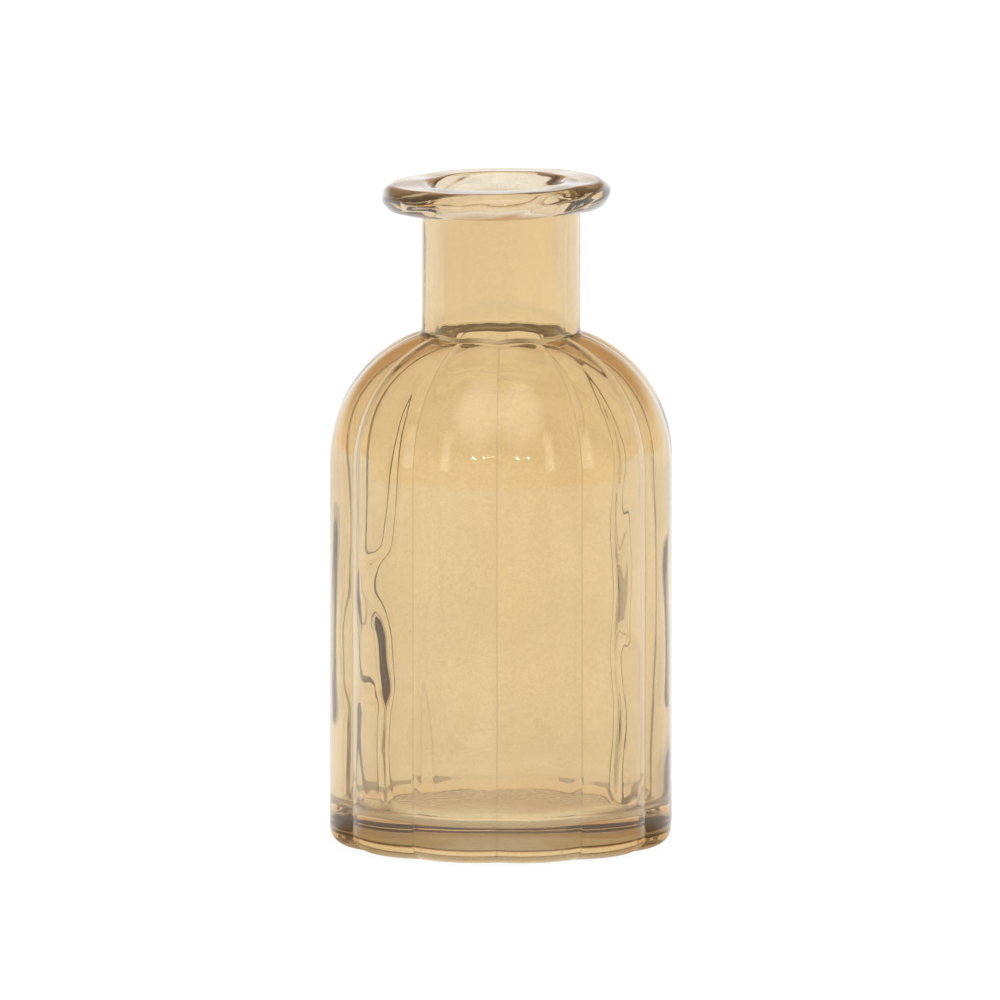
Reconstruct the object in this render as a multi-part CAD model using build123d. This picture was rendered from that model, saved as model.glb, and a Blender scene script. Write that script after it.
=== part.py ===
from build123d import *
from math import radians, sqrt, tan
import os

# Millimetres, +Z up, origin at the centre of the base where the vase stands.

# Fluted body
flute_count = 12
crest_radius = 35.6         # main axis to the top of a flute
flute_radius = 17.8         # round of one flute, seen from above
shoulder_z = 79.0           # where the straight side turns into the shoulder
crown_radius = 8.1          # main axis to the centre of the shoulder's round
heel_radius = 3.8           # round between side and underside
wall = 2.4                  # side and shoulder, tint coat counted
floor_thickness = 6.5
cavity_heel_radius = 4.6    # round where the wall meets the floor inside
pushup_radius = 23.5        # hollow under the base, inside the bearing ring
pushup_depth = 1.4

# Neck
neck_radius = 16.3
neck_wall = 2.2             # tint coat counted
neck_top = 130.8            # end face of the neck, where the lip is laid on
junction_radius = 1.5       # outside round between shoulder and neck
cavity_junction_radius = 3.9    # the same edge on the inside

# Lip
lip_height = 5.5
lip_overhang = 7.1          # how far the lip stands out past the neck
lip_lap = 1.5               # how far the lip closes the mouth inside the neck bore
lip_offset = -1.0           # hand-laid lip, off the neck's axis along X
mouth_round = 1.4           # upper inner edge
mouth_under_round = 0.9     # lower inner edge

# Tint coat, sprayed on the outside of the glass
coat_thickness = 0.25
coat_edge_z = 1.0           # the coat stops here, so the glass itself meets the table

# Tool sizes: run-past of the cutting shapes, and how near an edge counts as on the neck
through_margin = 5.0
edge_tolerance = 0.05

half_pitch = 180.0 / flute_count
shoulder_radius = crest_radius - crown_radius   # round of the shoulder, seen from the side
bore_radius = neck_radius - neck_wall
mouth_radius = bore_radius - lip_lap
lip_radius = neck_radius + lip_overhang
lip_top = neck_top + lip_height


def pitch_wedge(reach, low, high):
    """Space of one flute: a slice of the round between the two valley planes."""
    half_width = reach * tan(radians(half_pitch))
    slice_face = make_face(Polyline((0, 0), (reach, -half_width), (reach, half_width), close=True).edges())
    return Pos(0, 0, low) * extrude(slice_face, high - low)


def flute_side(inset, base_z, base_round):
    """Upright part of one flute, with its rounded lower edge."""
    radius = flute_radius - inset
    height = shoulder_z - base_z
    centre = crest_radius - flute_radius
    post = Cylinder(radius, height, align=(Align.CENTER, Align.CENTER, Align.MIN))
    post = fillet(post.edges().sort_by(Axis.Z)[0], base_round)
    return Pos(centre, 0, base_z) * post


def flute_shoulder(inset):
    """Shoulder of one flute: its section swung up about a level axis."""
    radius = flute_radius - inset
    centre = crest_radius - flute_radius
    side_a = Line((crown_radius, -radius), (centre, -radius))
    front = ThreePointArc((centre, -radius), (centre + radius, 0), (centre, radius))
    side_b = Line((centre, radius), (crown_radius, radius))
    back = Line((crown_radius, radius), (crown_radius, -radius))
    section = make_face([side_a, front, side_b, back])
    section = Pos(0, 0, shoulder_z) * section
    swing = Axis((crown_radius, 0, shoulder_z), (0, -1, 0))
    return revolve(section, swing, 90)


def fluted_form(inset, base_z, base_round, core_radius, top_z, junction):
    """Closed fluted bottle shape, used for the coat, the glass and its hollow."""
    flute = flute_side(inset, base_z, base_round) + flute_shoulder(inset)
    reach = crest_radius + through_margin
    wedge = pitch_wedge(reach, base_z - through_margin, top_z + through_margin)
    flute = flute & wedge
    core = Cylinder(core_radius, top_z - base_z, align=(Align.CENTER, Align.CENTER, Align.MIN))
    form = Pos(0, 0, base_z) * core
    turns = PolarLocations(0, flute_count, start_angle=-90 + half_pitch)
    form = form.fuse(*[place * flute for place in turns]).clean()
    ring = form.edges().filter_by(lambda e: is_junction(e, core_radius, top_z))
    return fillet(ring, junction)


def is_junction(edge, core_radius, top_z):
    """True for the edges where the neck leaves the shoulder."""
    middle = edge.position_at(0.5)
    on_neck = abs(sqrt(middle.X ** 2 + middle.Y ** 2) - core_radius) < edge_tolerance
    below_end = shoulder_z < middle.Z < top_z - edge_tolerance
    rise = abs(edge.position_at(0).Z - edge.position_at(1).Z)
    upright = rise > edge.length / 2
    return on_neck and below_end and not upright


def coated_form():
    """Outside of the coat."""
    return fluted_form(0, 0, heel_radius, neck_radius, neck_top, junction_radius)


def glass_form():
    """Outside of the glass, under the coat."""
    radius = neck_radius - coat_thickness
    return fluted_form(coat_thickness, 0, heel_radius, radius, neck_top, junction_radius + coat_thickness)


def cavity_form():
    """Hollow of the glass."""
    return fluted_form(
        wall, floor_thickness, cavity_heel_radius, bore_radius, neck_top, cavity_junction_radius
    )


def pushup():
    """Shallow dome under the base."""
    ball = (pushup_radius ** 2 + pushup_depth ** 2) / (2 * pushup_depth)
    return Pos(0, 0, pushup_depth - ball) * Sphere(ball)


def fluted_body(glass):
    """Blown glass: fluted side, shoulder, neck and thick base."""
    return glass - cavity_form() - pushup()


def amber_coat(glass):
    """Tint coat on the outside, from just above the table to the end of the neck."""
    reach = 2 * (crest_radius + through_margin)
    bare = Box(reach, reach, coat_edge_z + through_margin, align=(Align.CENTER, Align.CENTER, Align.MIN))
    return coated_form() - glass - Pos(0, 0, -through_margin) * bare


def lip_ring():
    """Round lip laid on the end of the neck."""
    half = lip_height / 2
    outer = lip_radius - half
    under_start = (mouth_radius + mouth_under_round, 0)
    land_start = (mouth_radius, mouth_under_round)
    land_end = (mouth_radius, lip_height - mouth_round)
    top_start = (mouth_radius + mouth_round, lip_height)
    top = Line(top_start, (outer, lip_height))
    nose = ThreePointArc((outer, lip_height), (outer + half, half), (outer, 0))
    under = Line((outer, 0), under_start)
    low_round = RadiusArc(under_start, land_start, mouth_under_round)
    land = Line(land_start, land_end)
    high_round = RadiusArc(land_end, top_start, mouth_round)
    profile = make_face([top, nose, under, low_round, land, high_round])
    ring = revolve(Plane.XZ * profile, Axis.Z, 360)
    return Pos(lip_offset, 0, neck_top) * ring


def main():
    """Build every node and write it to the parts folder."""
    os.makedirs("parts", exist_ok=True)
    glass = glass_form()
    nodes = {
        "fluted_body": fluted_body(glass),
        "amber_coat": amber_coat(glass),
        "lip_ring": lip_ring(),
    }
    for name, shape in nodes.items():
        solids = shape.solids()
        print(name, len(solids), [round(s.volume, 1) for s in solids], shape.is_valid)
        print("  box", shape.bounding_box())
        export_step(shape, f"parts/{name}.step")
    print("mouth radius", mouth_radius, "land", lip_height - mouth_round - mouth_under_round)


main()
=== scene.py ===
"""Amber fluted bud vase: glass body with a sprayed tint coat, a hand-laid lip, and a plain pale studio."""

from __future__ import annotations

import logging
import math
from dataclasses import dataclass, field
from enum import Enum

import bpy
import numpy as np
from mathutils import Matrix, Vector

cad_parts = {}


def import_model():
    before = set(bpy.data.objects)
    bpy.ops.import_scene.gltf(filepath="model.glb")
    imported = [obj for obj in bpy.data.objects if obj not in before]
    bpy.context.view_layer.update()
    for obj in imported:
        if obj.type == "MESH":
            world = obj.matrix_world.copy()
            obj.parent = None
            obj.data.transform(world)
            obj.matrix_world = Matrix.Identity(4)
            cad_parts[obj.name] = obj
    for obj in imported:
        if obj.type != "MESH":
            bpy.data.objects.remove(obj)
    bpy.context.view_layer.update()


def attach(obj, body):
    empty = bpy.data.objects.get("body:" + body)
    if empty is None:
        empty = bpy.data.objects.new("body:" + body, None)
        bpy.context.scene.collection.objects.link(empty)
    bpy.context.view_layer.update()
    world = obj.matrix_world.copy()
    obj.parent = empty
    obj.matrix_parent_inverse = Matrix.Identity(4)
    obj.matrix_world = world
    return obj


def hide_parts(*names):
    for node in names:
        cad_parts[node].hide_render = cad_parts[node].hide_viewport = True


MM = 0.001
FOLD_RADIUS = 30.0
LOG = logging.getLogger("bud_vase")

Point = tuple[float, float]
ArcPoint = tuple[float, float, float]
Colour = tuple[float, float, float]


class Zone(Enum):
    """Part of the glass that a stretch of profile belongs to."""

    PUSHUP = "pushup"
    BEARING_RING = "bearing ring"
    HEEL = "heel"
    SIDE = "side"
    SHOULDER = "shoulder"
    JUNCTION = "junction"
    NECK = "neck"
    SEAT = "seat"
    BORE = "bore"
    INNER_JUNCTION = "inner junction"
    INNER_SHOULDER = "inner shoulder"
    INNER_SIDE = "inner side"
    INNER_HEEL = "inner heel"
    FLOOR = "floor"
    LIP = "lip"


class Skin(Enum):
    """Material slot order on the glass pieces."""

    COAT = 0
    CLEAR = 1
    STIPPLE = 2
    FUSED = 3
    LIP = 4


@dataclass(frozen=True)
class ProfilePoint:
    """One point of a half section.

    Args:
        r: distance from the axis, in millimetres.
        z: height, in millimetres.
        zone: part of the glass it belongs to.
        turn: angle round the shoulder or heel at this point, in radians.
    """

    r: float
    z: float
    zone: Zone
    turn: float = 0.0


def arc(centre: Point, radius: float, start: float, end: float, count: int) -> list[ArcPoint]:
    """Points along an arc of a half section.

    Args:
        centre: centre of the arc, in millimetres.
        radius: radius, in millimetres.
        start: first angle, in radians from level outward.
        end: last angle, in radians.
        count: number of points, both ends included.

    Returns:
        Radius, height and angle of each point.
    """
    steps = [start + (end - start) * i / (count - 1) for i in range(count)]
    return [(centre[0] + radius * math.cos(a), centre[1] + radius * math.sin(a), a) for a in steps]


def run(start: Point, end: Point, count: int) -> list[Point]:
    """Evenly spaced points from start to end, without the first one.

    Args:
        start: point the run leaves from.
        end: last point of the run.
        count: number of points made.

    Returns:
        The points.
    """
    return [
        (start[0] + (end[0] - start[0]) * i / count, start[1] + (end[1] - start[1]) * i / count)
        for i in range(1, count + 1)
    ]


class Value:
    """A shader socket that can be used in Python arithmetic."""

    def __init__(self, dresser: "Dresser", socket: bpy.types.NodeSocket) -> None:
        """Keep the socket and the material it belongs to."""
        self.dresser = dresser
        self.socket = socket

    def _math(self, operation: str, *values: "Value | float") -> "Value":
        """Add one Math node."""
        return self.dresser.node("ShaderNodeMath", {"operation": operation}, dict(enumerate(values)))

    def __add__(self, other: "Value | float") -> "Value":
        """Sum."""
        return self._math("ADD", self, other)

    def __mul__(self, other: "Value | float") -> "Value":
        """Product."""
        return self._math("MULTIPLY", self, other)

    def clamp(self, low: float, high: float) -> "Value":
        """Keep between two numbers."""
        return self._math("MAXIMUM", self._math("MINIMUM", self, high), low)

    def smooth(self, low: float, high: float) -> "Value":
        """Ease from 0 at low to 1 at high."""
        settings = {"interpolation_type": "SMOOTHSTEP"}
        return self.dresser.node("ShaderNodeMapRange", settings, {0: self, 1: low, 2: high, 3: 0.0, 4: 1.0})


class Dresser:
    """Builds one node tree, for a material or for the world."""

    def __init__(self, tree: bpy.types.NodeTree) -> None:
        """Empty the tree and keep it."""
        self.tree = tree
        self.tree.nodes.clear()

    def node(
        self,
        kind: str,
        settings: dict[str, object] | None = None,
        inputs: dict[int | str, object] | None = None,
        output: int | str = 0,
    ) -> Value:
        """Add a node, set it up and link it.

        Args:
            kind: node type.
            settings: node properties, set first.
            inputs: values or links, by socket name or number.
            output: socket that is handed back.

        Returns:
            The chosen output as a Value.
        """
        made = self.tree.nodes.new(kind)
        for name, setting in (settings or {}).items():
            setattr(made, name, setting)
        for name, given in (inputs or {}).items():
            if isinstance(given, Value):
                self.tree.links.new(given.socket, made.inputs[name])
            else:
                made.inputs[name].default_value = given
        return Value(self, made.outputs[output] if made.outputs else None)

    def mix(self, factor: Value | float, first: Value | tuple, second: Value | tuple) -> Value:
        """Mix two colours."""
        return self.node(
            "ShaderNodeMix", {"data_type": "RGBA"}, {0: factor, 6: first, 7: second}, 2
        )

    def place(self) -> Value:
        """Position on the piece, in metres."""
        return self.node("ShaderNodeTexCoord", output="Object")

    def noise(self, vector: Value, scale: float, detail: float = 2.0) -> Value:
        """Soft noise from 0 to 1."""
        return self.node("ShaderNodeTexNoise", inputs={"Vector": vector, "Scale": scale, "Detail": detail})

    def stretch(self, vector: Value, scale: tuple[float, float, float]) -> Value:
        """Scale a position along each axis."""
        return self.node("ShaderNodeMapping", inputs={"Vector": vector, "Scale": scale})

    def height(self, vector: Value) -> Value:
        """Height of a position."""
        return self.node("ShaderNodeSeparateXYZ", inputs={0: vector}, output=2)

    def bump(self, amount: Value, strength: float, distance: float) -> Value:
        """Fine relief from a height value."""
        return self.node(
            "ShaderNodeBump", inputs={"Strength": strength, "Distance": distance, "Height": amount}
        )


def new_dresser(name: str) -> tuple[bpy.types.Material, Dresser]:
    """Make an empty node material.

    Args:
        name: material name.

    Returns:
        The material and its dresser.
    """
    material = bpy.data.materials.new(name)
    material.use_nodes = True
    return material, Dresser(material.node_tree)


@dataclass(frozen=True)
class CoatFinish:
    """Glass face under the sprayed amber coat.

    Args:
        name: material name.
        tint: colour of light let through.
        deep_tint: the same in the cloudier places.
        painted_shade_tone: colour of the painted shade laid along the valleys and round the front of the
            neck's foot.
        speck_tone: colour of the fine grain.
        thin_tint: colour of a thin coat, mixed in up the neck.
        ior: index of the glass.
        coat_ior: index of the coat.
        grain: amount of fine grain.
        thinning: share of thin_tint on the neck.
        clearness: share of light let through; the rest scatters.
        neck_from: height where the neck's thinner coat starts, in metres.
        neck_to: height where it is complete.
    """

    name: str = "amber_coat"
    tint: Colour = (0.84, 0.625, 0.32)
    deep_tint: Colour = (0.81, 0.58, 0.275)
    painted_shade_tone: Colour = (0.10, 0.05, 0.02)
    speck_tone: Colour = (0.2, 0.12, 0.05)
    thin_tint: Colour = (0.87, 0.70, 0.46)
    ior: float = 1.5
    coat_ior: float = 1.5
    grain: float = 0.12
    thinning: float = 0.30
    clearness: float = 0.925
    neck_from: float = 0.104
    neck_to: float = 0.112

    def make(self) -> bpy.types.Material:
        """Build the material."""
        material, dress = new_dresser(self.name)
        place = dress.place()
        cloud = dress.noise(dress.stretch(place, (1.0, 1.0, 0.35)), 38.0, 3.0)
        tint = dress.mix(cloud.smooth(0.35, 0.65), (*self.tint, 1.0), (*self.deep_tint, 1.0))
        speck = dress.noise(place, 2000.0, 2.0).smooth(0.35, 0.65) * self.grain
        tint = dress.mix(speck, tint, (*self.speck_tone, 1.0))
        # Painted shade: darker along the valley creases and round the front of the neck's foot, read from
        # the mesh.
        painted_shade = dress.node("ShaderNodeAttribute", {"attribute_name": "painted_shade"}, output="Fac")
        above = dress.height(place).smooth(self.neck_from, self.neck_to) * self.thinning
        tint = dress.mix(above, tint, (*self.thin_tint, 1.0))
        tint = dress.mix((painted_shade * 0.5).clamp(0.0, 1.0), tint, (*self.painted_shade_tone, 1.0))
        film = dress.node("ShaderNodeAttribute", {"attribute_name": "film"}, output="Fac")
        glass = dress.node(
            "ShaderNodeBsdfPrincipled",
            inputs={
                "Base Color": tint,
                "Roughness": 0.0,
                "IOR": self.ior,
                "Transmission Weight": self.clearness,
                "Coat Weight": film,
                "Coat Roughness": 0.02,
                "Coat IOR": self.coat_ior,
            },
        )
        dress.node("ShaderNodeOutputMaterial", inputs={"Surface": glass})
        return material


@dataclass(frozen=True)
class ClearFinish:
    """Bare glass face."""

    name: str = "clear_glass"
    tint: Colour = (0.985, 0.99, 0.98)
    ior: float = 1.5
    stipple: float = 0.0
    roughness: float = 0.0

    def make(self) -> bpy.types.Material:
        """Build the material."""
        material, dress = new_dresser(self.name)
        inputs: dict[int | str, object] = {
            "Base Color": (*self.tint, 1.0),
            "Roughness": 0.0,
            "IOR": self.ior,
            "Transmission Weight": 1.0,
        }
        if self.stipple > 0.0:
            grain = dress.noise(dress.place(), 800.0, 2.0)
            inputs["Normal"] = dress.bump(grain, self.stipple, 0.3 * MM)
            inputs["Roughness"] = self.roughness
        glass = dress.node("ShaderNodeBsdfPrincipled", inputs=inputs)
        dress.node("ShaderNodeOutputMaterial", inputs={"Surface": glass})
        return material


@dataclass(frozen=True)
class FusedFinish:
    """Face where two pieces of glass are melted together, so light goes straight through."""

    name: str = "fused_seat"

    def make(self) -> bpy.types.Material:
        """Build the material."""
        material, dress = new_dresser(self.name)
        glass = dress.node(
            "ShaderNodeBsdfPrincipled", inputs={"Base Color": (1.0, 1.0, 1.0, 1.0), "Alpha": 0.0}
        )
        dress.node("ShaderNodeOutputMaterial", inputs={"Surface": glass})
        return material


class Turner:
    """Turns half sections into closed pieces of glass."""

    @staticmethod
    def deselect() -> None:
        """Leave edit mode and select nothing."""
        if bpy.context.object and bpy.context.object.mode != "OBJECT":
            bpy.ops.object.mode_set(mode="OBJECT")
        bpy.ops.object.select_all(action="DESELECT")

    @classmethod
    def spin(cls, name: str, profile: list[ProfilePoint], steps: int) -> bpy.types.Object:
        """Draw a half section by extruding a point and spin it round the axis.

        Args:
            name: name of the piece.
            profile: points of the half section, in order.
            steps: number of steps round the axis.

        Returns:
            The piece, with outward faces and no doubles.
        """
        cls.deselect()
        first = profile[0]
        bpy.ops.mesh.primitive_plane_add(size=MM, location=(0.0, 0.0, 0.0))
        piece = bpy.context.object
        piece.name = name
        piece.data.name = name
        bpy.ops.object.mode_set(mode="EDIT")
        bpy.ops.mesh.select_mode(type="VERT")
        bpy.ops.mesh.select_all(action="SELECT")
        bpy.ops.mesh.merge(type="CENTER")
        bpy.ops.transform.translate(value=(first.r * MM, 0.0, first.z * MM))
        for before, after in zip(profile, profile[1:]):
            step = ((after.r - before.r) * MM, 0.0, (after.z - before.z) * MM)
            bpy.ops.mesh.extrude_region_move(TRANSFORM_OT_translate={"value": step})
        bpy.ops.mesh.select_all(action="SELECT")
        bpy.ops.mesh.spin(steps=steps, angle=2.0 * math.pi, center=(0, 0, 0), axis=(0, 0, 1))
        bpy.ops.mesh.select_all(action="SELECT")
        bpy.ops.mesh.remove_doubles(threshold=0.001 * MM)
        bpy.ops.mesh.normals_make_consistent(inside=False)
        bpy.ops.object.mode_set(mode="OBJECT")
        return piece

    @staticmethod
    def rows(piece: bpy.types.Object, profile: list[ProfilePoint]) -> tuple[np.ndarray, np.ndarray]:
        """Find which profile point each vertex came from.

        Args:
            piece: a spun piece.
            profile: the half section it was spun from.

        Returns:
            Vertex places in millimetres, and the profile row of each.
        """
        mesh = piece.data
        places = np.empty(len(mesh.vertices) * 3)
        mesh.vertices.foreach_get("co", places)
        places = places.reshape(-1, 3) / MM
        section = np.array([(p.r, p.z) for p in profile])
        flat = np.stack([np.hypot(places[:, 0], places[:, 1]), places[:, 2]], 1)
        rows = np.empty(len(flat), int)
        for start in range(0, len(flat), 20000):
            part = flat[start : start + 20000]
            gaps = ((part[:, None, :] - section[None, :, :]) ** 2).sum(2)
            rows[start : start + 20000] = gaps.argmin(1)
        return places, rows

    @staticmethod
    def write(piece: bpy.types.Object, places: np.ndarray) -> None:
        """Move every vertex to its place, given in millimetres."""
        piece.data.vertices.foreach_set("co", (places * MM).ravel())
        piece.data.update()

    @staticmethod
    def mark(piece: bpy.types.Object, name: str, amount: np.ndarray) -> None:
        """Store one number per vertex for the finishes to read."""
        attribute = piece.data.attributes.new(name, "FLOAT", "POINT")
        attribute.data.foreach_set("value", amount.astype(np.float32))

    @classmethod
    def smooth(cls, piece: bpy.types.Object) -> None:
        """Shade round surfaces smooth and keep the seat's corners."""
        cls.deselect()
        piece.select_set(True)
        bpy.context.view_layer.objects.active = piece
        bpy.ops.object.shade_smooth_by_angle(angle=math.radians(50.0))

    @staticmethod
    def face_rows(piece: bpy.types.Object, rows: np.ndarray) -> np.ndarray:
        """Lowest and highest profile row touched by each face."""
        mesh = piece.data
        loops = np.empty(len(mesh.loops), int)
        mesh.loops.foreach_get("vertex_index", loops)
        starts = np.empty(len(mesh.polygons), int)
        mesh.polygons.foreach_get("loop_start", starts)
        low = np.minimum.reduceat(rows[loops], starts)
        high = np.maximum.reduceat(rows[loops], starts)
        return np.stack([low, high], 1)


@dataclass(frozen=True)
class Wave:
    """One sine wave on a turned surface.

    Args:
        size: height of the wave.
        around: number of waves round the axis.
        along: radians of wave for each step along the section.
        phase: start of the wave, in radians.
    """

    size: float
    around: float
    along: float
    phase: float = 0.0

    def at(self, angle: np.ndarray, way: np.ndarray) -> np.ndarray:
        """Height of the wave at these angles and ways along the section."""
        return self.size * np.sin(self.around * angle + self.along * way + self.phase)


@dataclass(frozen=True)
class Fold:
    """One long thickening of the wall that stands out into the hollow.

    Widths are taken at FOLD_RADIUS millimetres from the axis.

    Args:
        azimuth: degrees round from the front, positive to the right.
        low: height of its lower end, in millimetres.
        high: height of its upper end.
        swell: how far it stands out, in millimetres.
        width: half width, in millimetres.
        sway: degrees it sways to either side.
        wave: length of one sway, in millimetres.
        phase: start of the sway, in radians.
        hook: degrees its lower end turns aside.
    """

    azimuth: float
    low: float
    high: float
    swell: float
    width: float
    sway: float = 0.6
    wave: float = 40.0
    phase: float = 0.0
    hook: float = 0.0


@dataclass
class FlutedBody:
    """Glass body: fluted side, shoulder, neck, thick base and hollow."""

    flute_count: int = 12
    crest_radius: float = 35.6
    flute_radius: float = 17.8
    shoulder_z: float = 79.0
    crown_radius: float = 8.1
    heel_radius: float = 3.8
    wall: float = 2.4
    inner_heel: float = 1.8
    inner_heel_z: float = 10.6
    dish_slope: float = 16.0
    dish_power: float = 2.4
    pushup_radius: float = 23.5
    pushup_depth: float = 1.4
    neck_radius: float = 16.3
    bore_radius: float = 14.1
    neck_top: float = 130.8
    junction: float = 1.1
    inner_junction: float = 1.0
    valley_round: float = 0.3
    inner_valley_round: float = 2.0
    drift: float = 0.7
    ripple: float = 0.12
    banding: float = 0.035
    steps: int = 288
    crowding: float = 0.7
    seat_fade: float = 5.0
    fold_fade: float = 12.0
    fold_reach: float = 24.0
    gentle_side: float = 3.0
    # Painted shade: a thin dark line down each valley and a patch round the front of the neck's foot.
    valley_shade_width: float = 0.13
    valley_shade_depth: float = 0.7
    foot_shade_depth: float = 1.9
    foot_shade_share: float = 0.95
    side_film: float = 0.72
    heel_film: float = 0.22
    neck_film: float = 0.60
    foot_film: float = 0.10
    wall_waves: tuple[Wave, ...] = (
        Wave(1.0, 2.0, 1 / 24.0, 0.8),
        Wave(0.7, 5.0, -1 / 15.0, 2.0),
        Wave(0.4, 9.0, 1 / 8.0),
    )
    bore_waves: tuple[Wave, ...] = (Wave(1.0, 9.0, 1 / 30.0), Wave(0.7, 16.0, -1 / 17.0, 1.0))
    profile: list[ProfilePoint] = field(default_factory=list)
    folds: tuple[Fold, ...] = (
        Fold(-43.0, 60.0, 99.0, 0.54, 1.0, 2.4, 80.0, 1.0, -7.0),
        Fold(-49.0, 33.0, 50.0, 1.2, 2.3, 0.8, 34.0, 1.0),
        Fold(-45.0, 8.0, 36.0, 0.56, 1.0, 0.9, 30.0, 0.0),
        Fold(47.8, 12.0, 100.0, 0.56, 1.0, 1.0, 27.0, 1.2),
        Fold(52.5, 44.0, 70.0, 0.50, 0.8, 0.5, 20.0, 2.0),
        Fold(-78.0, 26.0, 68.0, 0.55, 1.1, 1.6, 60.0, 0.3),
        Fold(80.0, 30.0, 62.0, 0.55, 1.1, 2.0, 44.0, 2.2),
        Fold(-16.0, 10.0, 92.0, 0.18, 2.2, 1.2, 50.0, 0.9),
        Fold(14.0, 10.0, 92.0, 0.18, 2.2, 1.2, 46.0, 2.4),
        Fold(107.0, 14.0, 84.0, 0.55, 1.2, 1.5, 38.0, 0.8),
        Fold(-104.0, 20.0, 96.0, 0.60, 1.2, 1.4, 31.0, 1.7),
        Fold(134.0, 12.0, 70.0, 0.45, 1.4, 1.2, 42.0, 2.9),
        Fold(-137.0, 28.0, 98.0, 0.45, 1.4, 1.1, 36.0, 0.2),
        Fold(166.0, 10.0, 80.0, 0.40, 1.3, 1.0, 48.0, 1.1),
        Fold(-163.0, 16.0, 90.0, 0.40, 1.3, 1.3, 40.0, 2.0),
    )

    def flute(self, inset: float, local: np.ndarray, t: np.ndarray) -> tuple[np.ndarray, np.ndarray]:
        """Point on the shoulder of one flute.

        Args:
            inset: distance in from the outer surface.
            local: angle from the nearest crest, round the axis.
            t: angle up the shoulder.

        Returns:
            Distance from the axis and height.
        """
        round_r = self.flute_radius - inset
        hub = self.crest_radius - self.flute_radius
        y = np.zeros_like(local)
        for _ in range(14):
            x = self.crown_radius + (np.sqrt(round_r ** 2 - y ** 2) + hub - self.crown_radius) * np.cos(t)
            y = x * np.tan(local)
        reach = np.sqrt(round_r ** 2 - y ** 2) + hub - self.crown_radius
        return np.hypot(self.crown_radius + reach * np.cos(t), y), self.shoulder_z + reach * np.sin(t)

    def rounded(
        self, inset: float, local: np.ndarray, neck: float, fillet: float
    ) -> tuple[np.ndarray, np.ndarray, np.ndarray, np.ndarray]:
        """Find the round that joins the shoulder to the neck.

        Args:
            inset: distance in from the outer surface.
            local: angle from the nearest crest, round the axis.
            neck: radius of the neck surface.
            fillet: radius of the round.

        Returns:
            Shoulder angle where the round starts, its centre radius and height, and its first angle.
        """
        low = np.full_like(local, math.radians(40.0))
        high = np.full_like(local, math.radians(89.0))
        step = 1e-3
        for _ in range(40):
            t = (low + high) / 2
            r, z = self.flute(inset, local, t)
            ahead_r, ahead_z = self.flute(inset, local, t + step)
            dr, dz = ahead_r - r, ahead_z - z
            size = np.hypot(dr, dz)
            outside = r + fillet * dz / size > neck + fillet
            low = np.where(outside, t, low)
            high = np.where(outside, high, t)
        return t, r + fillet * dz / size, z - fillet * dr / size, np.arctan2(dr, -dz)

    def rise(self, inset: float, neck: float, fillet: float) -> tuple[float, float]:
        """Shoulder angle and height at which the neck round starts and ends over a crest."""
        t, _, z, _ = self.rounded(inset, np.zeros(1), neck, fillet)
        return float(t[0]), float(z[0])

    def draw(self) -> list[ProfilePoint]:
        """Half section through a flute crest, from the base centre, over the neck, to the floor centre.

        Returns:
            The profile points in order.
        """
        points: list[ProfilePoint] = []

        def add(pairs: list[Point], zone: Zone) -> None:
            """Append plain points."""
            points.extend(ProfilePoint(r, z, zone) for r, z in pairs)

        def add_arc(triples: list[ArcPoint], zone: Zone) -> None:
            """Append arc points, without the first, with their share of the arc's highest angle."""
            most = max(t for _, _, t in triples) or 1.0
            points.extend(ProfilePoint(r, z, zone, t / most) for r, z, t in triples[1:])

        def add_shares(pairs: list[Point], zone: Zone) -> None:
            """Append points of a round, with the share of the way along it."""
            points.extend(ProfilePoint(r, z, zone, (i + 1) / len(pairs)) for i, (r, z) in enumerate(pairs))

        depth, reach = self.pushup_depth, self.pushup_radius
        points.append(ProfilePoint(0.0, depth, Zone.PUSHUP))
        for i in range(1, 13):
            share = i / 12
            points.append(ProfilePoint(reach * share, depth * (1 - share ** 2), Zone.PUSHUP))
        heel_centre = (self.crest_radius - self.heel_radius, self.heel_radius)
        add(run((reach, 0.0), (heel_centre[0], 0.0), 8), Zone.BEARING_RING)
        add_arc(arc(heel_centre, self.heel_radius, -math.pi / 2, 0.0, 15), Zone.HEEL)
        add(run((self.crest_radius, self.heel_radius), (self.crest_radius, self.shoulder_z), 50), Zone.SIDE)
        outer = self.crest_radius - self.crown_radius
        rise, top = self.rise(0.0, self.neck_radius, self.junction)
        add_arc(arc((self.crown_radius, self.shoulder_z), outer, 0.0, rise, 56), Zone.SHOULDER)
        add_shares(run((points[-1].r, points[-1].z), (self.neck_radius, top), 8), Zone.JUNCTION)
        add(run((self.neck_radius, top), (self.neck_radius, self.neck_top), 10), Zone.NECK)
        add(run((self.neck_radius, self.neck_top), (self.bore_radius, self.neck_top), 3), Zone.SEAT)
        rise, top = self.rise(self.wall, self.bore_radius, self.inner_junction)
        add(run((self.bore_radius, self.neck_top), (self.bore_radius, top), 10), Zone.BORE)
        inner = arc((self.crown_radius, self.shoulder_z), outer - self.wall, rise, 0.0, 50)
        add_shares(run((self.bore_radius, top), inner[0][:2], 12), Zone.INNER_JUNCTION)
        add_arc(inner, Zone.INNER_SHOULDER)
        side = self.crest_radius - self.wall
        low, heel = self.inner_heel_z, self.inner_heel
        slope = math.radians(self.dish_slope)
        add(run((side, self.shoulder_z), (side, low), 62), Zone.INNER_SIDE)
        corner = arc((side - heel, low), heel, 0.0, slope - math.pi / 2, 8)
        add([(r, z) for r, z, _ in corner[1:]], Zone.INNER_HEEL)
        edge, top, _ = corner[-1]
        fall = math.tan(slope) * edge / self.dish_power
        shares = [1.0 - (i + 1) / 20 for i in range(20)]
        add([(edge * x, top - fall * (1.0 - x ** self.dish_power)) for x in shares], Zone.FLOOR)
        return points

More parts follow.
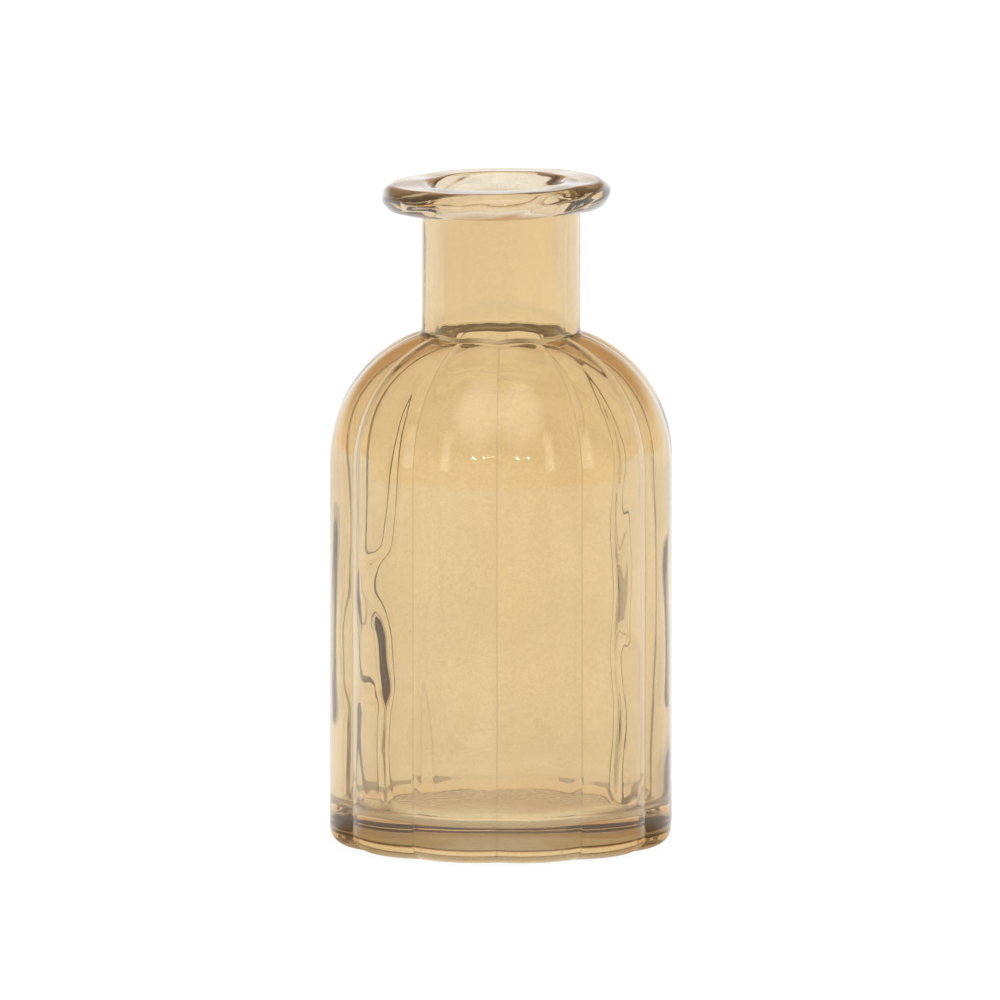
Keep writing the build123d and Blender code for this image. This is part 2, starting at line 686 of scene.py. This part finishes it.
    def build(self) -> bpy.types.Object:
        """Turn the section, press the flutes in and dress the faces.

        Returns:
            The finished glass body.
        """
        self.profile = self.draw()
        piece = Turner.spin("glass_body", self.profile, self.steps)
        places, rows = Turner.rows(piece, self.profile)
        places = self.press_flutes(places, rows)
        Turner.write(piece, places)
        self.dress(piece, rows)
        self.painted_shade(piece, rows)
        return piece

    def painted_shade(self, piece: bpy.types.Object, rows: np.ndarray) -> None:
        """Mark where shade is painted, and how glossy the coat is.

        The painted shade runs along the valleys and round the front of the neck's foot.

        Args:
            piece: the glass body.
            rows: profile row of each vertex.
        """
        places = np.empty(len(piece.data.vertices) * 3)
        piece.data.vertices.foreach_get("co", places)
        places = places.reshape(-1, 3)
        angle = np.arctan2(places[:, 1], places[:, 0])
        _, local = self.local_angle(angle, False)
        away = (math.pi / self.flute_count - np.abs(local)) * np.hypot(places[:, 0], places[:, 1]) / MM
        order = list(Zone)
        zones = np.array([order.index(p.zone) for p in self.profile])[rows]
        share = np.array([p.turn for p in self.profile])[rows]
        fluted = (zones >= order.index(Zone.HEEL)) & (zones <= order.index(Zone.SHOULDER))
        # Painted shade: a thin dark line down each valley.
        painted_shade_amount = np.where(fluted, self.valley_shade_depth * np.exp(-((away / self.valley_shade_width) ** 2)), 0.0)
        foot = (zones == order.index(Zone.JUNCTION)) & (share < self.foot_shade_share)
        # The painted shade at the neck's foot is strongest at the front, towards the camera.
        front = np.clip(1.4 * np.cos(angle + math.pi / 2 + 0.1) - 0.2, 0.0, 1.0)
        front_shade = front * (0.75 + 0.25 * np.sin(9.0 * angle + 1.0))
        painted_shade_amount = np.maximum(painted_shade_amount, np.where(foot, self.foot_shade_depth * front_shade, 0.0))
        Turner.mark(piece, "painted_shade", painted_shade_amount)
        z = places[:, 2] / MM
        above_heel = np.clip((z - 5.0) / 9.0, 0.0, 1.0)
        film = self.heel_film + (self.side_film - self.heel_film) * above_heel
        neck = zones >= order.index(Zone.JUNCTION)
        above_foot = np.clip((z - 108.0) / 8.0, 0.0, 1.0)
        film = np.where(neck, self.foot_film + (self.neck_film - self.foot_film) * above_foot, film)
        Turner.mark(piece, "film", film)

    def local_angle(self, angle: np.ndarray, crowd: bool = True) -> tuple[np.ndarray, np.ndarray]:
        """Crowd the vertices towards the valleys and measure from the nearest crest.

        Args:
            angle: angle of each vertex round the axis.
            crowd: whether the vertices are moved.

        Returns:
            New angle round the axis, and angle from the nearest crest.
        """
        pitch = 2.0 * math.pi / self.flute_count
        first = -math.pi / 2 + pitch / 2
        turns = (angle - first) / pitch
        number = np.round(turns)
        u = turns - number
        if crowd:
            u = u + self.crowding * np.sin(2 * math.pi * u) / (2 * math.pi)
        return first + (number + u) * pitch, u * pitch

    def wander(self, angle: np.ndarray, z: np.ndarray) -> tuple[np.ndarray, np.ndarray]:
        """Unevenness of the inner surface, as left by blowing.

        Args:
            angle: angle round the axis.
            z: height, in millimetres.

        Returns:
            Turn of the inner valleys in radians, and extra wall in millimetres.
        """
        turn = (
            np.sin(z / 13.0 + 2.0 * np.sin(angle + 0.4) + 1.3)
            + 0.6 * np.sin(z / 6.1 + 3.0 * angle + 0.5)
            + 0.8 * np.sin(z / 29.0 - 2.0 * angle)
        )
        swell = sum(wave.at(angle, z) for wave in self.wall_waves)
        return math.radians(self.drift) * turn, self.ripple * swell + self.fold(angle, z)

    def fold(self, angle: np.ndarray, z: np.ndarray) -> np.ndarray:
        """Extra wall from the folds, each steep towards the front and gentle away from it.

        Args:
            angle: angle round the axis.
            z: height, in millimetres.

        Returns:
            Extra wall, in millimetres.
        """
        total = np.zeros_like(angle)
        for fold in self.folds:
            above = z - fold.low
            centre = fold.azimuth + fold.sway * np.sin(2.0 * math.pi * z / fold.wave + fold.phase)
            centre = centre + fold.hook * np.exp(-((above / 2.4) ** 2))
            apart = (angle + math.pi / 2 - np.radians(centre) + math.pi) % (2.0 * math.pi) - math.pi
            ends = np.clip(above / 4.0 + 0.5, 0.0, 1.0) * np.clip((fold.high - z) / 8.0 + 0.5, 0.0, 1.0)
            spread = fold.width * np.where(apart * fold.azimuth > 0.0, self.gentle_side, 1.0)
            total += fold.swell * ends * np.exp(-((apart * FOLD_RADIUS / spread) ** 2) / 2.0)
        return total

    def press_flutes(self, places: np.ndarray, rows: np.ndarray) -> np.ndarray:
        """Shape the round section into flutes.

        Args:
            places: vertex places, in millimetres.
            rows: profile row of each vertex.

        Returns:
            New vertex places.
        """
        zones = np.array([list(Zone).index(p.zone) for p in self.profile])[rows]
        share = np.array([p.turn for p in self.profile])[rows]
        r = np.array([p.r for p in self.profile])[rows]
        z = np.array([p.z for p in self.profile])[rows]
        angle, local = self.local_angle(np.arctan2(places[:, 1], places[:, 0]))
        turn, swell = self.wander(angle, z)
        _, shifted = self.local_angle(angle + turn, False)
        outer_local = self.soften(local, self.valley_round)
        inner_local = self.soften(shifted, self.inner_valley_round)
        hub = self.crest_radius - self.flute_radius

        def pick(*wanted: Zone) -> np.ndarray:
            """Mask of the vertices in these zones."""
            return np.isin(zones, [list(Zone).index(w) for w in wanted])

        def lobe(crest: np.ndarray, at: np.ndarray) -> np.ndarray:
            """Radius of a flute whose crest lies at this radius."""
            return hub * np.cos(at) + np.sqrt((crest - hub) ** 2 - (hub * np.sin(at)) ** 2)

        def lift(
            inset: float, at: np.ndarray, neck: float, fillet: float, shoulder: Zone, join: Zone
        ) -> None:
            """Place a fluted shoulder and the round that joins it to the neck."""
            on = pick(shoulder)
            start, _, _, _ = self.rounded(inset, at[on], neck, fillet)
            r[on], z[on] = self.flute(inset, at[on], start * share[on])
            on = pick(join)
            _, mid_r, mid_z, first = self.rounded(inset, at[on], neck, fillet)
            way = share[on] if join is Zone.JUNCTION else 1.0 - share[on]
            first = np.where(first < 0.0, first + 2.0 * math.pi, first)
            bend = first + (math.pi - first) * way
            r[on] = mid_r + fillet * np.cos(bend)
            z[on] = mid_z + fillet * np.sin(bend)

        side = pick(Zone.HEEL, Zone.SIDE)
        r[side] = lobe(r[side], outer_local[side])
        ring = pick(Zone.BEARING_RING)
        edge = self.crest_radius - self.heel_radius
        reach = (r[ring] - self.pushup_radius) / (edge - self.pushup_radius)
        r[ring] += reach * (lobe(np.full(ring.sum(), edge), outer_local[ring]) - edge)
        inner = pick(Zone.INNER_SIDE, Zone.INNER_HEEL)
        r[inner] = lobe(r[inner], inner_local[inner])
        floor = pick(Zone.FLOOR)
        rim = self.profile[[p.zone for p in self.profile].index(Zone.FLOOR) - 1].r
        ratio = lobe(np.full(floor.sum(), rim), inner_local[floor]) / rim
        r[floor] *= 1.0 + (ratio - 1.0) * (r[floor] / rim) ** 2
        lift(0.0, outer_local, self.neck_radius, self.junction, Zone.SHOULDER, Zone.JUNCTION)
        inner_zones = (Zone.INNER_SHOULDER, Zone.INNER_JUNCTION)
        lift(self.wall, inner_local, self.bore_radius, self.inner_junction, *inner_zones)
        hollow = pick(Zone.INNER_SIDE, Zone.INNER_HEEL, Zone.INNER_SHOULDER, Zone.INNER_JUNCTION)
        below = (self.shoulder_z + self.fold_reach - z[hollow]) / self.fold_fade
        r[hollow] -= swell[hollow] * np.clip(below, 0.0, 1.0)
        bore = pick(Zone.BORE)
        middle = np.clip((self.neck_top - z[bore]) / self.seat_fade, 0.0, 1.0)
        bands = sum(wave.at(angle[bore], z[bore]) + wave.size for wave in self.bore_waves)
        r[bore] -= self.banding * middle * bands
        return np.stack([r * np.cos(angle), r * np.sin(angle), z], 1)

    def soften(self, local: np.ndarray, degrees: float) -> np.ndarray:
        """Round the valley between flutes.

        Args:
            local: angle from the nearest crest.
            degrees: size of the round, in degrees round the axis.

        Returns:
            Angle to read the flute at.
        """
        half = math.pi / self.flute_count
        soft = math.radians(degrees)
        away = np.sqrt((half - np.abs(local)) ** 2 + soft ** 2)
        return np.sign(local) * np.clip(half - away, 0.0, half)

    def dress(self, piece: bpy.types.Object, rows: np.ndarray) -> None:
        """Give each face its skin.

        Args:
            piece: the glass body.
            rows: profile row of each vertex.
        """
        skins = {
            Zone.PUSHUP: Skin.STIPPLE,
            Zone.BEARING_RING: Skin.STIPPLE,
            Zone.SEAT: Skin.FUSED,
            Zone.HEEL: Skin.COAT,
            Zone.SIDE: Skin.COAT,
            Zone.SHOULDER: Skin.COAT,
            Zone.JUNCTION: Skin.COAT,
            Zone.NECK: Skin.COAT,
        }
        table = np.array([skins.get(p.zone, Skin.CLEAR).value for p in self.profile])
        bounds = Turner.face_rows(piece, rows)
        piece.data.polygons.foreach_set("material_index", table[bounds[:, 1]])
        Turner.smooth(piece)


@dataclass
class LipRing:
    """Round lip, laid by hand on the end of the neck."""

    seat_inner: float = 14.1
    seat_outer: float = 16.3
    seat_z: float = 130.8
    height: float = 5.5
    mouth_radius: float = 12.6
    lip_radius: float = 23.4
    offset: float = -1.0
    lean: float = 1.3
    clear_rim: float = 1.6
    film: float = 0.9
    ripples: tuple[Wave, ...] = (Wave(0.035, 5.0, 3.0, 0.6), Wave(0.02, 11.0, -4.0, 2.1))
    swirl: Wave = Wave(0.07, -7.0, 6.0, 0.4)
    steps: int = 288
    profile: list[ProfilePoint] = field(default_factory=list)

    def draw(self) -> list[ProfilePoint]:
        """Closed section of the lip, from the seat's inner edge round to the seat's inner edge.

        Returns:
            The profile points in order.
        """
        half = self.height / 2
        mouth = self.mouth_radius + half
        points = [ProfilePoint(self.seat_inner, self.seat_z, Zone.SEAT)]
        start = math.acos((self.seat_inner - mouth) / half)
        for r, z, turn in arc((mouth, self.seat_z + half), half, -start, -math.pi, 10):
            points.append(ProfilePoint(r, z, Zone.LIP, turn))
        for r, z, turn in arc((mouth, self.seat_z + half), half, math.pi, math.pi / 2, 12)[1:]:
            points.append(ProfilePoint(r, z, Zone.LIP, turn))
        outer = self.lip_radius - half
        top = self.seat_z + self.height
        for r, z in run((mouth, top), (outer, top), 10):
            points.append(ProfilePoint(r, z, Zone.LIP, math.pi / 2))
        for r, z, turn in arc((outer, self.seat_z + half), half, math.pi / 2, -math.pi / 2, 36)[1:]:
            points.append(ProfilePoint(r, z, Zone.LIP, turn))
        for r, z in run((outer, self.seat_z), (self.seat_outer, self.seat_z), 8):
            points.append(ProfilePoint(r, z, Zone.LIP, -math.pi / 2))
        points.extend(
            ProfilePoint(r, z, Zone.SEAT)
            for r, z in run((self.seat_outer, self.seat_z), (self.seat_inner, self.seat_z), 3)
        )
        return points

    def build(self) -> bpy.types.Object:
        """Turn the ring, lean it and dress it.

        Returns:
            The finished lip.
        """
        self.profile = self.draw()
        piece = Turner.spin("lip_ring_glass", self.profile, self.steps)
        places, rows = Turner.rows(piece, self.profile[:-1])
        Turner.write(piece, self.lay(places, rows))
        seat = np.array([p.zone is Zone.SEAT for p in self.profile[:-1]])
        bounds = Turner.face_rows(piece, rows)
        wrap = (bounds[:, 0] == 0) & (bounds[:, 1] > 5)
        fused = (seat[bounds[:, 1]] & (bounds[:, 1] > 5)) | wrap
        near = np.array([p.r for p in self.profile[:-1]])[bounds[:, 0]]
        skins = np.where(near < self.mouth_radius + self.clear_rim, Skin.CLEAR.value, Skin.LIP.value)
        skins = np.where(fused, Skin.FUSED.value, skins)
        piece.data.polygons.foreach_set("material_index", skins)
        Turner.mark(piece, "film", np.full(len(rows), self.film))
        Turner.smooth(piece)
        return piece

    def lay(self, places: np.ndarray, rows: np.ndarray) -> np.ndarray:
        """Shift and lean the lip, but keep its seat where the neck ends.

        Args:
            places: vertex places, in millimetres.
            rows: profile row of each vertex.

        Returns:
            New vertex places.
        """
        r = np.hypot(places[:, 0], places[:, 1])
        angle = np.arctan2(places[:, 1], places[:, 0])
        turn = np.array([p.turn for p in self.profile[:-1]])[rows]
        rise = places[:, 2] - self.seat_z
        loose = np.maximum.reduce([(r - self.seat_outer) / 2.5, rise / 2.2, (self.seat_inner - r) / 1.2])
        loose = np.clip(loose, 0.0, 1.0)
        loose = loose * loose * (3.0 - 2.0 * loose)
        wave = sum(ripple.at(angle, turn) for ripple in self.ripples)
        wave = wave + self.swirl.at(angle, turn) * (0.6 + 0.4 * np.sin(angle * 2.0 + 2.2))
        r = r + loose * wave * np.cos(turn)
        rise = rise + loose * wave * np.sin(turn)
        x = r * np.cos(angle) + loose * self.offset
        y = r * np.sin(angle)
        slope = math.tan(math.radians(self.lean))
        z = self.seat_z + rise + loose * slope * x
        return np.stack([x, y, z], 1)


@dataclass(frozen=True)
class Glow:
    """One soft patch of light in the surroundings.

    Args:
        azimuth: degrees round from the front, positive to the right.
        elevation: degrees above the horizon.
        inner: degrees from the middle to where it starts to fade.
        outer: degrees from the middle to where it has gone.
        strength: brightness added.
    """

    azimuth: float
    elevation: float
    inner: float
    outer: float
    strength: float


@dataclass
class Studio:
    """Pale floor, soft light, surroundings and camera."""

    azimuth: float = 1.36
    elevation: float = 8.1
    distance: float = 6.0
    frame_width: float = 0.2047
    target: tuple[float, float, float] = (-0.0002, 0.0, 0.0704)
    back_glow: float = 1.0
    front_tone: Colour = (0.97, 0.68, 0.40)
    top_tone: Colour = (0.60, 0.39, 0.22)
    painted_under_tone: Colour = (1.02, 0.94, 0.80)
    shadow_tone: Colour = (0.46, 0.31, 0.19)
    table_front: float = 0.57
    softbox: Glow = Glow(0.0, 52.0, 6.0, 36.0, 1.2)
    strip_sides: tuple[float, ...] = (-41.0, 40.0)
    strip_steps: tuple[tuple[float, float], ...] = ((4.0, 1.0), (14.0, 1.0), (25.0, 0.8))
    lamps: tuple[Glow, ...] = (
        Glow(-4.0, 12.5, 0.5, 1.1, 30.0),
        Glow(-1.0, 11.5, 0.4, 0.9, 20.0),
        Glow(11.0, 12.5, 0.5, 1.1, 30.0),
    )
    lamp_tone: Colour = (1.0, 0.97, 0.92)

    def build(self) -> None:
        """Build the whole studio."""
        self.floor()
        self.world()
        self.camera()
        self.key_light()

    def floor(self) -> None:
        """Wide floor: white to the camera with a faint painted contact shadow round the base; to the glass,
        painted amber light and shade right under the vase, painted shadow to its front left and right, and
        warmer past the table's front edge.
        """
        Turner.deselect()
        bpy.ops.mesh.primitive_plane_add(size=60.0, location=(0.0, 0.0, -0.00002))
        floor = bpy.context.object
        floor.name = "pale_floor"
        material, dress = new_dresser("pale_floor")
        place = dress.place()
        across = dress.node("ShaderNodeSeparateXYZ", inputs={0: place}, output=0)
        ahead = dress.node("ShaderNodeSeparateXYZ", inputs={0: place}, output=1)
        away = dress.node("ShaderNodeVectorMath", {"operation": "LENGTH"}, {0: place}, "Value")
        cloud = dress.noise(place, 3.5, 1.0).smooth(0.3, 0.7) * 0.16 + 0.92
        plain = dress.node("ShaderNodeCombineXYZ", inputs={0: cloud, 1: cloud, 2: cloud})
        # Painted amber light and shade on the floor right under the vase, seen only through the glass.
        colour = dress.mix(away.smooth(0.030, 0.042), (*self.painted_under_tone, 1.0), plain)
        aside = dress.node("ShaderNodeMath", {"operation": "ABSOLUTE"}, {0: across})
        shadow = away.smooth(0.080, 0.055) * aside.smooth(0.014, 0.028) * ahead.smooth(0.012, -0.012)
        colour = dress.mix(shadow, colour, (*self.shadow_tone, 1.0))
        gap = away.smooth(self.table_front, self.table_front + 0.03) * ahead.smooth(0.1, -0.1)
        colour = dress.mix(gap, colour, (*self.front_tone, 1.0))
        # Painted contact shadow round the base, seen by the camera.
        shade = away.smooth(0.0345, 0.044) * 0.22 + 0.98
        white = dress.node("ShaderNodeCombineXYZ", inputs={0: shade * 1.01, 1: shade, 2: shade})
        seen = dress.node("ShaderNodeLightPath", output="Is Camera Ray")
        colour = dress.mix(seen, colour, white)
        glow = dress.node("ShaderNodeEmission", inputs={"Color": colour, "Strength": 1.0})
        dress.node("ShaderNodeOutputMaterial", inputs={"Surface": glow})
        floor.data.materials.append(material)

    def world(self) -> None:
        """White behind the vase, warm and darker in front and overhead, with a few soft lights."""
        world = bpy.data.worlds.new("studio_round")
        bpy.context.scene.world = world
        world.use_nodes = True
        dress = Dresser(world.node_tree)
        way = dress.node("ShaderNodeTexCoord", output="Generated")
        behind = dress.node("ShaderNodeSeparateXYZ", inputs={0: way}, output=1)
        rise = dress.height(way)
        back = behind.smooth(0.5, 0.85)
        high = rise.smooth(0.04, 0.36)
        tone = dress.mix(back, (*self.front_tone, 1.0), (self.back_glow,) * 3 + (1.0,))
        tone = dress.mix(high, tone, (*self.top_tone, 1.0))
        level = self.patch(dress, way, self.softbox)
        strips = [
            Glow(side, up, 1.0, 9.0, strength)
            for side in self.strip_sides
            for up, strength in self.strip_steps
        ]
        for glow in (*strips, *self.lamps):
            level = level + self.patch(dress, way, glow)
        _, green, blue = self.lamp_tone
        lamps = dress.node("ShaderNodeCombineXYZ", inputs={0: level, 1: level * green, 2: level * blue})
        colour = dress.node("ShaderNodeVectorMath", {"operation": "ADD"}, {0: tone, 1: lamps})
        seen = dress.node("ShaderNodeLightPath", output="Is Camera Ray")
        colour = dress.mix(seen, colour, (1.2, 1.2, 1.2, 1.0))
        lit = dress.node("ShaderNodeBackground", inputs={"Color": colour, "Strength": 1.0})
        dress.node("ShaderNodeOutputWorld", inputs={"Surface": lit})

    @staticmethod
    def patch(dress: Dresser, way: Value, glow: Glow) -> Value:
        """Brightness of one soft patch.

        Args:
            dress: tree being built.
            way: direction looked in.
            glow: the patch.

        Returns:
            Brightness to add.
        """
        a, e = math.radians(glow.azimuth), math.radians(glow.elevation)
        aim = (math.sin(a) * math.cos(e), -math.cos(a) * math.cos(e), math.sin(e))
        near = dress.node("ShaderNodeVectorMath", {"operation": "DOT_PRODUCT"}, {0: way, 1: aim}, "Value")
        low, high = math.cos(math.radians(glow.outer)), math.cos(math.radians(glow.inner))
        return near.smooth(low, high) * glow.strength

    def key_light(self) -> None:
        """Soft light from above."""
        Turner.deselect()
        bpy.ops.object.light_add(type="AREA", location=(0.0, -0.9, 1.6))
        light = bpy.context.object
        light.name = "key_light"
        light.data.shape = "DISK"
        light.data.size = 0.8
        light.data.energy = 6.0
        light.rotation_mode = "QUATERNION"
        light.rotation_quaternion = Vector((0.0, -0.9, 1.52)).to_track_quat("Z", "Y")
        light.visible_glossy = False
        light.visible_transmission = False

    def camera(self) -> None:
        """Long lens, a little above the vase."""
        Turner.deselect()
        a, e = math.radians(self.azimuth), math.radians(self.elevation)
        away = Vector((math.sin(a) * math.cos(e), -math.cos(a) * math.cos(e), math.sin(e)))
        bpy.ops.object.camera_add(location=Vector(self.target) + away * self.distance)
        camera = bpy.context.object
        camera.name = "studio_camera"
        camera.rotation_mode = "QUATERNION"
        camera.rotation_quaternion = away.to_track_quat("Z", "Y")
        camera.data.sensor_width = 36.0
        camera.data.lens = 36.0 * self.distance / self.frame_width
        camera.data.clip_start = 0.01
        camera.data.clip_end = 100.0
        bpy.context.scene.camera = camera


def set_light_paths() -> None:
    """Let light go through as many faces of glass as it needs, and keep plain whites."""
    scene = bpy.context.scene
    cycles = scene.cycles
    cycles.max_bounces = 48
    cycles.transmission_bounces = 48
    cycles.glossy_bounces = 24
    cycles.transparent_max_bounces = 48
    cycles.caustics_reflective = True
    cycles.caustics_refractive = True
    scene.view_settings.view_transform = "Standard"
    scene.view_settings.look = "None"


def main() -> None:
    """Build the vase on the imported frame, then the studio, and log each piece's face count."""
    logging.basicConfig(level=logging.INFO, format="%(name)s: %(message)s")
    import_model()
    skins = [
        CoatFinish().make(),
        ClearFinish().make(),
        ClearFinish(name="stippled_foot", tint=(0.80, 0.87, 0.76), stipple=1.0, roughness=0.55).make(),
        FusedFinish().make(),
        CoatFinish(
            name="lip_coat",
            tint=(0.86, 0.69, 0.45),
            deep_tint=(0.82, 0.63, 0.38),
            thinning=0.0,
            clearness=0.98,
        ).make(),
    ]
    body = FlutedBody().build()
    lip = LipRing().build()
    for piece in (body, lip):
        for material in skins:
            piece.data.materials.append(material)
        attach(piece, "root")
        LOG.info("%s: %d faces", piece.name, len(piece.data.polygons))
    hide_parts("fluted_body", "amber_coat")
    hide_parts("lip_ring")
    Studio().build()
    set_light_paths()


if __name__ == "__main__":
    main()
